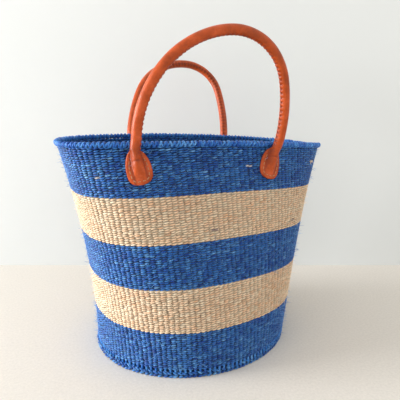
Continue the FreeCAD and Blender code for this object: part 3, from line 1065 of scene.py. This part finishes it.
def leather_strip(which):
    """One strip of leather: a stitched tongue at each end, rolled round its cord between."""
    grip = setting("handle_sizes")
    h = handle(which)
    aim, inner, out = h.frames()
    count, sides = len(h.line), TUBE_SIDES
    radius = grip.tube_radius
    angle = np.arange(sides) / sides * TURN
    run = running(h.line)
    rng = np.random.default_rng(31 if which == "front" else 32)
    uneven = 1.0 + 0.018 * wander(rng, count, 14.0)[:, None]
    c, s = np.cos(angle)[None, :], np.sin(angle)[None, :]
    away = np.abs((angle[None, :] - h.seam + math.pi) % TURN - math.pi)
    stitch = 0.5 + 0.5 * np.cos(TURN * run / grip.seam_pitch)[:, None]
    # the seam sinks between its two edges and is pinched at every stitch
    def near_seam(effect):
        return np.exp(-(away / effect[0]) ** 2) * effect[1]

    groove = near_seam(SEAM_LINE) + near_seam(SEAM_PINCH) * stitch
    lip = near_seam(SEAM_LIP) * (1.0 - stitch)
    tube_r = radius * uneven * (1.0 - groove + lip)
    tube_x, tube_y = tube_r * c, radius + tube_r * s
    depth = h.depth[:, None]
    half = tab_half_width(np.maximum(depth, 0.0), grip)
    x = half * c
    edge = np.maximum(1.0 - np.abs(c) ** 10, 0.0) ** 0.5
    sheet = grip.tab_thickness * edge
    ridge_half = radius * 0.99 + 0.0010 * ease(0.005, 0.016, depth)
    drop = 1.0 - 0.10 * ease(0.007, 0.0115, depth) - 0.25 * ease(0.012, 0.022, depth) \
        - 0.63 * ease(0.018, 0.029, depth)
    crest = (2.0 * radius - grip.tab_thickness) * np.clip(drop, 0.0, 1.0)
    fold = 0.0098 + 22.0 * x ** 2
    crest = crest * (1.0 - 0.10 * np.exp(-((depth - fold) / 0.0009) ** 2))
    crest = crest * (depth < 0.031)
    ridge = crest * np.maximum(1.0 - (x / ridge_half) ** 2, 0.0) ** 0.58
    flat_y = np.where(s > 0, sheet + ridge, 0.00035)
    flat_y = np.where(np.abs(s) < 1e-6, grip.tab_thickness * 0.5, flat_y)
    mix = ease(-0.003, 0.0045, depth)
    px = tube_x * (1.0 - mix) + x * mix
    py = tube_y * (1.0 - mix) + flat_y * mix - radius
    points = (h.line[:, None, :] + inner[:, None, :] * px[..., None]
              + out[:, None, :] * py[..., None])
    # darkening of the leather: the band along the seam, the fold line and the tab edges are partly
    # the leather's own darkening; the seam groove, its pinches and the line beside the raised tube
    # are painted shade
    crease = (groove * 2.4 + np.exp(-(away / 0.62) ** 2) * (0.22 + 0.30 * stitch)) * (1.0 - mix) \
        + np.exp(-((depth - fold) / 0.0009) ** 2) * np.exp(-(x / 0.006) ** 2) * 0.5 * (depth > 0) \
        + 0.60 * np.exp(-((np.abs(x) - ridge_half - 0.0004) / 0.0012) ** 2) * (depth > 0.002) \
        + 0.5 * (np.abs(c) > 0.985) * mix
    strands = Strands()
    if inside_out(inner[count // 2], out[count // 2], aim[count // 2]):
        points = points[:, ::-1]
        crease = crease[:, ::-1]
    strands.add(points, False, crease=crease)
    piece = strands.object(f"leather_handle_{which}")
    piece.data.materials.append(tan_leather())
    return piece


def flex(piece, which):
    """Bakes the piece's placement into its mesh; the piece does not bend."""
    h = handle(which)
    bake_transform(piece)


def stitch_mesh(length, width, height):
    """One stitch, lying along X: a small bar with its ends and edges rounded."""
    bpy.ops.object.select_all(action="DESELECT")
    bpy.ops.mesh.primitive_cube_add(size=1.0, location=(0.0, 0.0, 0.0))
    bar = bpy.context.active_object
    bar.dimensions = (length, width, height)
    bpy.ops.object.transform_apply(location=True, rotation=True, scale=True)
    bpy.ops.object.mode_set(mode="EDIT")
    bpy.ops.mesh.select_all(action="SELECT")
    bpy.ops.mesh.bevel(offset=min(width, height) * 0.38, segments=1, affect="EDGES")
    bpy.ops.object.mode_set(mode="OBJECT")
    points = np.array([v.co[:] for v in bar.data.vertices])
    faces = [list(p.vertices) for p in bar.data.polygons]
    bpy.data.objects.remove(bar, do_unlink=True)
    return points, faces


def join_copies(name, pattern, frames):
    """One mesh from many copies of a pattern; a frame is an origin and three directions."""
    points, faces = pattern
    all_points, all_faces = [], []
    for i, (origin, along, across, up) in enumerate(frames):
        turn = np.stack([along, across, up], 0)
        all_points.append(points @ turn + origin)
        all_faces += [[v + i * len(points) for v in f] for f in faces]
    mesh = bpy.data.meshes.new(name)
    mesh.from_pydata(np.concatenate(all_points).tolist(), [], all_faces)
    mesh.update()
    for polygon in mesh.polygons:
        polygon.use_smooth = True
    return put(name, mesh)


def tab_stitches(which, index):
    """Waxed thread round the sides and foot of one tab."""
    grip = setting("handle_sizes")
    h = handle(which)
    tab = h.tabs[index]
    inset = STITCH_INSET
    depths = np.linspace(STITCH_START, grip.tab_length - inset, 400)
    half = np.maximum(tab_half_width(depths, grip) - inset, 0.0)
    shrink = tab_half_width(np.minimum(depths + inset * 0.55, grip.tab_length), grip)
    half = np.minimum(half, np.maximum(shrink - inset * 0.75, 0.0))
    right = np.stack([half, -depths], 1)
    loop = np.concatenate([right, (right * [-1, 1])[::-1]])
    run = running(loop)
    total = int(run[-1] / grip.stitch_pitch)
    frames = []
    for i in range(total):
        where = run[-1] * (i + 0.5) / total
        spot = np.array([np.interp(where, run, loop[:, k]) for k in (0, 1)])
        ahead = np.array([np.interp(where + 0.0005, run, loop[:, k]) for k in (0, 1)])
        aim = (ahead - spot) / max(1e-9, np.linalg.norm(ahead - spot))
        along = tab["over"] * aim[0] + tab["up"] * aim[1]
        along /= np.linalg.norm(along)
        up = tab["out"]
        across = np.cross(up, along)
        origin = tab["start"] + tab["over"] * spot[0] + tab["up"] * spot[1] \
            + tab["out"] * (grip.tab_thickness + 0.00010)
        frames.append((origin, along, across, up))
    piece = join_copies(f"tab_stitches_{which}_{('left', 'right')[index]}",
                        stitch_mesh(*TAB_STITCH), frames)
    piece.data.materials.append(twisted_thread("waxed_tan_thread",
                                               setting("basket_colours").thread, 0.5))
    node = f"tab_{which}_{('left', 'right')[index]}_stitches"
    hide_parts(node)
    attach(piece, "basket")
    return piece


def seam_lacing(which):
    """Whip stitches that close the rolled leather, slanting across the seam."""
    grip = setting("handle_sizes")
    h = handle(which)
    aim, inner, out = h.frames()
    run = running(h.line)
    radius = grip.tube_radius
    first = run[np.argmax(h.depth < -0.002)] + 0.002
    last = run[len(run) - 1 - np.argmax(h.depth[::-1] < -0.002)] - 0.002
    frames = []
    number = math.ceil(first / grip.seam_pitch)
    while number * grip.seam_pitch < last:
        at = number * grip.seam_pitch
        i = int(np.searchsorted(run, at))
        spoke = inner[i] * math.cos(h.seam) + out[i] * math.sin(h.seam)
        round_way = np.cross(spoke, aim[i])
        along = round_way * 0.86 + aim[i] * 0.5
        along /= np.linalg.norm(along)
        across = np.cross(spoke, along)
        frames.append((h.line[i] + spoke * radius * 0.955, along, across, spoke))
        number += 1
    piece = join_copies(f"seam_lacing_{which}", stitch_mesh(*LACE_STITCH), frames)
    piece.data.materials.append(twisted_thread(
        "seam_lace", [c * LACE_COLOUR for c in setting("basket_colours").leather], 0.45))
    return piece


class BASKET_OT_handles(bpy.types.Operator):
    """Roll the two leather handles and lace their seams"""
    bl_idname = "basket.handles"
    bl_label = "Leather handles"

    def execute(self, context):
        for which in HANDLES:
            strip = leather_strip(which)
            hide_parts(f"handle_{which}_sleeve", f"handle_{which}_cord",
                        f"tab_{which}_left", f"tab_{which}_right",
                        f"tab_{which}_left_cord", f"tab_{which}_right_cord")
            flex(strip, which)
            lacing = seam_lacing(which)
            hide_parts(f"handle_{which}_seam")
            flex(lacing, which)
        return {"FINISHED"}


class BASKET_OT_stitches(bpy.types.Operator):
    """Sew round the four tabs"""
    bl_idname = "basket.stitches"
    bl_label = "Tab stitches"

    def execute(self, context):
        for which in HANDLES:
            for index in (0, 1):
                tab_stitches(which, index)
        return {"FINISHED"}


BLUE_FIBRES, NATURAL_FIBRES = 4200, 2600
TUFT = (0.2261, 0.9118)     # height and share of the way round


class BASKET_OT_fibres(bpy.types.Operator):
    """Leave the loose fibres that stand out of hand-twined sisal"""
    bl_idname = "basket.fibres"
    bl_label = "Loose fibres"

    def execute(self, context):
        skin, size = surface(), setting("basket_sizes")
        rng = np.random.default_rng(12)
        edges = (0.0, *STRIPES, size.height + 1.0)
        for name, blue, number in (("loose_blue_fibres", True, BLUE_FIBRES),
                                   ("loose_natural_fibres", False, NATURAL_FIBRES)):
            strands = Strands()
            for _ in range(number):
                level = rng.uniform(0.004, size.height - 0.002)
                stripe = int(np.searchsorted(edges, level)) - 1
                if (stripe % 2 == 0) != blue:
                    continue
                share = rng.random()
                start, out = skin.at(level, share, -0.0004)
                ahead, _ = skin.at(level, share + 0.002, -0.0004)
                along = unit((ahead - start)[None])[0]
                length = rng.uniform(0.002, 0.0075)
                lift = rng.uniform(0.15, 0.9)
                way = unit((along * rng.choice([-1.0, 1.0]) + out * lift
                            + np.array([0, 0, rng.normal() * 0.45]))[None])[0]
                droop = unit((out * 0.4 + rng.normal(size=3) * 0.5)[None])[0]
                t = np.linspace(0.0, 1.0, 5)[:, None]
                line = start + way * length * t + droop * length * 0.45 * t ** 2
                aim = unit(np.gradient(line, axis=0))
                side = unit(np.cross(aim, [0.3, 0.2, 0.93]))
                over = np.cross(aim, side)
                thin = np.array([0.00017, 0.00017, 0.00015, 0.00012, 0.00005])
                strands.add(tube_points(line, side, over, thin, thin, 3), False,
                            tone=np.full(5, rng.uniform(0.4, 1.1)), depth=np.full(5, 1.0),
                            run=np.linspace(0, length, 5), fleck=np.zeros(5))
            if not blue:
                self.tuft(strands, skin, rng)
            piece = strands.object(name)
            piece.data.materials.append(blue_sisal() if blue else natural_sisal())
            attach(piece, "basket")
        return {"FINISHED"}

    @staticmethod
    def tuft(strands, skin, rng):
        """The trimmed end of an undyed strand, left standing just below the rim."""
        start, out = skin.at(*TUFT, -0.0005)
        for _ in range(16):
            way = unit((out + rng.normal(size=3) * 0.45)[None])[0]
            t = np.linspace(0.0, 1.0, 4)[:, None]
            line = start + rng.normal(size=3) * 0.0004 + way * 0.0032 * t
            side = unit(np.cross(way, [0.3, 0.2, 0.93])[None])[0]
            over = np.cross(way, side)
            strands.add(tube_points(line, np.tile(side, (4, 1)), np.tile(over, (4, 1)),
                                    np.full(4, 0.00026), np.full(4, 0.00026), 4), False,
                        tone=np.full(4, 1.2), depth=np.full(4, 1.0), run=np.zeros(4),
                        fleck=np.zeros(4))


# ---- stage ------------------------------------------------------------------------------------
def cloth_floor(colour):
    """Plain bleached cotton laid flat: matt, with a faint slubby weave."""
    material, tree, shader = new_material("bleached_cotton_cloth")
    place = object_place(tree)
    # slubs about 3 mm across, drawn coarser than the thread so that they show
    slubs = noise(tree, place, 330.0, 6.0, 0.7)
    pale = [min(1.0, c * 1.04) for c in colour]
    base = colour_stops(tree, slubs.outputs["Fac"], [(0.35, [c * 0.93 for c in colour]),
                                                     (0.65, pale)])
    tree.links.new(base, shader.inputs["Base Color"])
    roughen(tree, shader, 0.35, 0.0008, slubs.outputs["Fac"])
    settle(shader, Roughness=0.9, Specular_IOR_Level=0.2)
    return material


def painted_wall(colour):
    """Matt emulsion on plaster. It is drawn from its front only, so it never hides the basket."""
    material, tree, shader = new_material("matt_painted_wall")
    settle(shader, Base_Color=(*colour, 1.0), Roughness=0.95, Specular_IOR_Level=0.1)
    behind = add_node(tree, "ShaderNodeNewGeometry").outputs["Backfacing"]
    clear = add_node(tree, "ShaderNodeBsdfTransparent")
    mix = add_node(tree, "ShaderNodeMixShader", _0=behind, _1=shader.outputs[0],
                   _2=clear.outputs[0])
    tree.links.new(mix.outputs[0], tree.nodes["Material Output"].inputs["Surface"])
    return material


CAMERA_PLACE = Vector((-0.2625, -0.4628, 0.2892))
CAMERA_TURN = math.radians(-30.77)
CAMERA_DROP = math.radians(-12.27)
CAMERA_LENS = 38.77
BACKDROP_AHEAD = 0.759
LAMP_AIM = Vector((0.0, 0.0, 0.13))


class BASKET_OT_stage(bpy.types.Operator):
    """Lay the floor, stand the backdrop and set the camera and the lights"""
    bl_idname = "basket.stage"
    bl_label = "Stage, camera and light"

    def execute(self, context):
        tint = setting("basket_colours")
        scene = context.scene
        ahead = Vector((-math.sin(CAMERA_TURN), math.cos(CAMERA_TURN), 0.0))
        right = Vector((ahead.y, -ahead.x, 0.0))

        bpy.ops.object.select_all(action="DESELECT")
        bpy.ops.mesh.primitive_plane_add(size=6.0, location=(0.0, 0.0, 0.0))
        floor = context.active_object
        floor.name = "floor"
        floor.data.materials.append(cloth_floor(tint.floor))
        foot = CAMERA_PLACE + ahead * BACKDROP_AHEAD
        wall = self.upright_sheet("backdrop", Vector((foot.x, foot.y, 0.0)), right, 6.0, 3.0)
        wall.data.materials.append(painted_wall(tint.backdrop))

        camera = bpy.data.cameras.new("camera")
        camera.sensor_width = 36.0
        camera.lens = CAMERA_LENS
        camera.clip_start = 0.01
        eye = put("camera", camera)
        look = ahead * math.cos(CAMERA_DROP) + Vector((0, 0, math.sin(CAMERA_DROP)))
        eye.rotation_euler = look.to_track_quat("-Z", "Y").to_euler()
        eye.location = CAMERA_PLACE
        scene.camera = eye

        self.lamp("window", -right * 3.2 - ahead * 0.06 + Vector((0, 0, 0.66)), 2.2, 1.1, 240.0,
                  (0.96, 0.98, 1.0))
        self.lamp("skylight", -right * 1.9 + ahead * 1.0 + Vector((0, 0, 2.1)), 1.0, 1.0, 52.0,
                  (1.0, 0.99, 0.97))
        world = bpy.data.worlds.new("room_light")
        world.use_nodes = True
        world.node_tree.nodes["Background"].inputs["Color"].default_value = (1.0, 0.985, 0.96, 1.0)
        world.node_tree.nodes["Background"].inputs["Strength"].default_value = 1.0
        scene.world = world
        scene.view_settings.view_transform = "Standard"
        return {"FINISHED"}

    @staticmethod
    def upright_sheet(name, foot, right, width, height):
        corners = [foot - right * width / 2, foot + right * width / 2]
        corners += [corners[1] + Vector((0, 0, height)), corners[0] + Vector((0, 0, height))]
        mesh = bpy.data.meshes.new(name)
        mesh.from_pydata([tuple(c) for c in corners], [], [(0, 1, 2, 3)])
        mesh.update()
        return put(name, mesh)

    @staticmethod
    def lamp(name, place, width, height, power, colour):
        light = bpy.data.lights.new(name, "AREA")
        light.shape = "RECTANGLE"
        light.size, light.size_y = width, height
        light.energy = power
        light.color = colour
        lamp = put(name, light)
        lamp.location = place
        aim = LAMP_AIM - place
        lamp.rotation_euler = aim.to_track_quat("-Z", "Y").to_euler()


OPERATORS = (BASKET_OT_stage, BASKET_OT_foot, BASKET_OT_warps, BASKET_OT_wall, BASKET_OT_rim,
             BASKET_OT_handles, BASKET_OT_stitches, BASKET_OT_fibres)
GROUPS = {"basket_sizes": BasketSizes, "weave_sizes": WeaveSizes, "handle_sizes": HandleSizes,
          "basket_colours": BasketColours}


class BASKET_PT_panel(bpy.types.Panel):
    bl_label = "Sisal basket"
    bl_idname = "BASKET_PT_panel"
    bl_space_type = "VIEW_3D"
    bl_region_type = "UI"
    bl_category = "Basket"

    def draw(self, context):
        column = self.layout.column(align=True)
        for group in GROUPS:
            for key in GROUPS[group].__annotations__:
                column.prop(getattr(context.scene, group), key)
        for operator in OPERATORS:
            column.operator(operator.bl_idname)


def register():
    for group in GROUPS.values():
        bpy.utils.register_class(group)
    for key, group in GROUPS.items():
        setattr(bpy.types.Scene, key, bpy.props.PointerProperty(type=group))
    for operator in OPERATORS:
        bpy.utils.register_class(operator)
    bpy.utils.register_class(BASKET_PT_panel)


def unregister():
    bpy.utils.unregister_class(BASKET_PT_panel)
    for operator in reversed(OPERATORS):
        bpy.utils.unregister_class(operator)
    for key, group in GROUPS.items():
        delattr(bpy.types.Scene, key)
        bpy.utils.unregister_class(group)


def main():
    register()
    bpy.ops.basket.stage()
    bpy.ops.basket.foot()
    bpy.ops.basket.warps()
    bpy.ops.basket.wall()
    bpy.ops.basket.rim()
    bpy.ops.basket.handles()
    bpy.ops.basket.stitches()
    bpy.ops.basket.fibres()


if __name__ == "__main__":
    main()
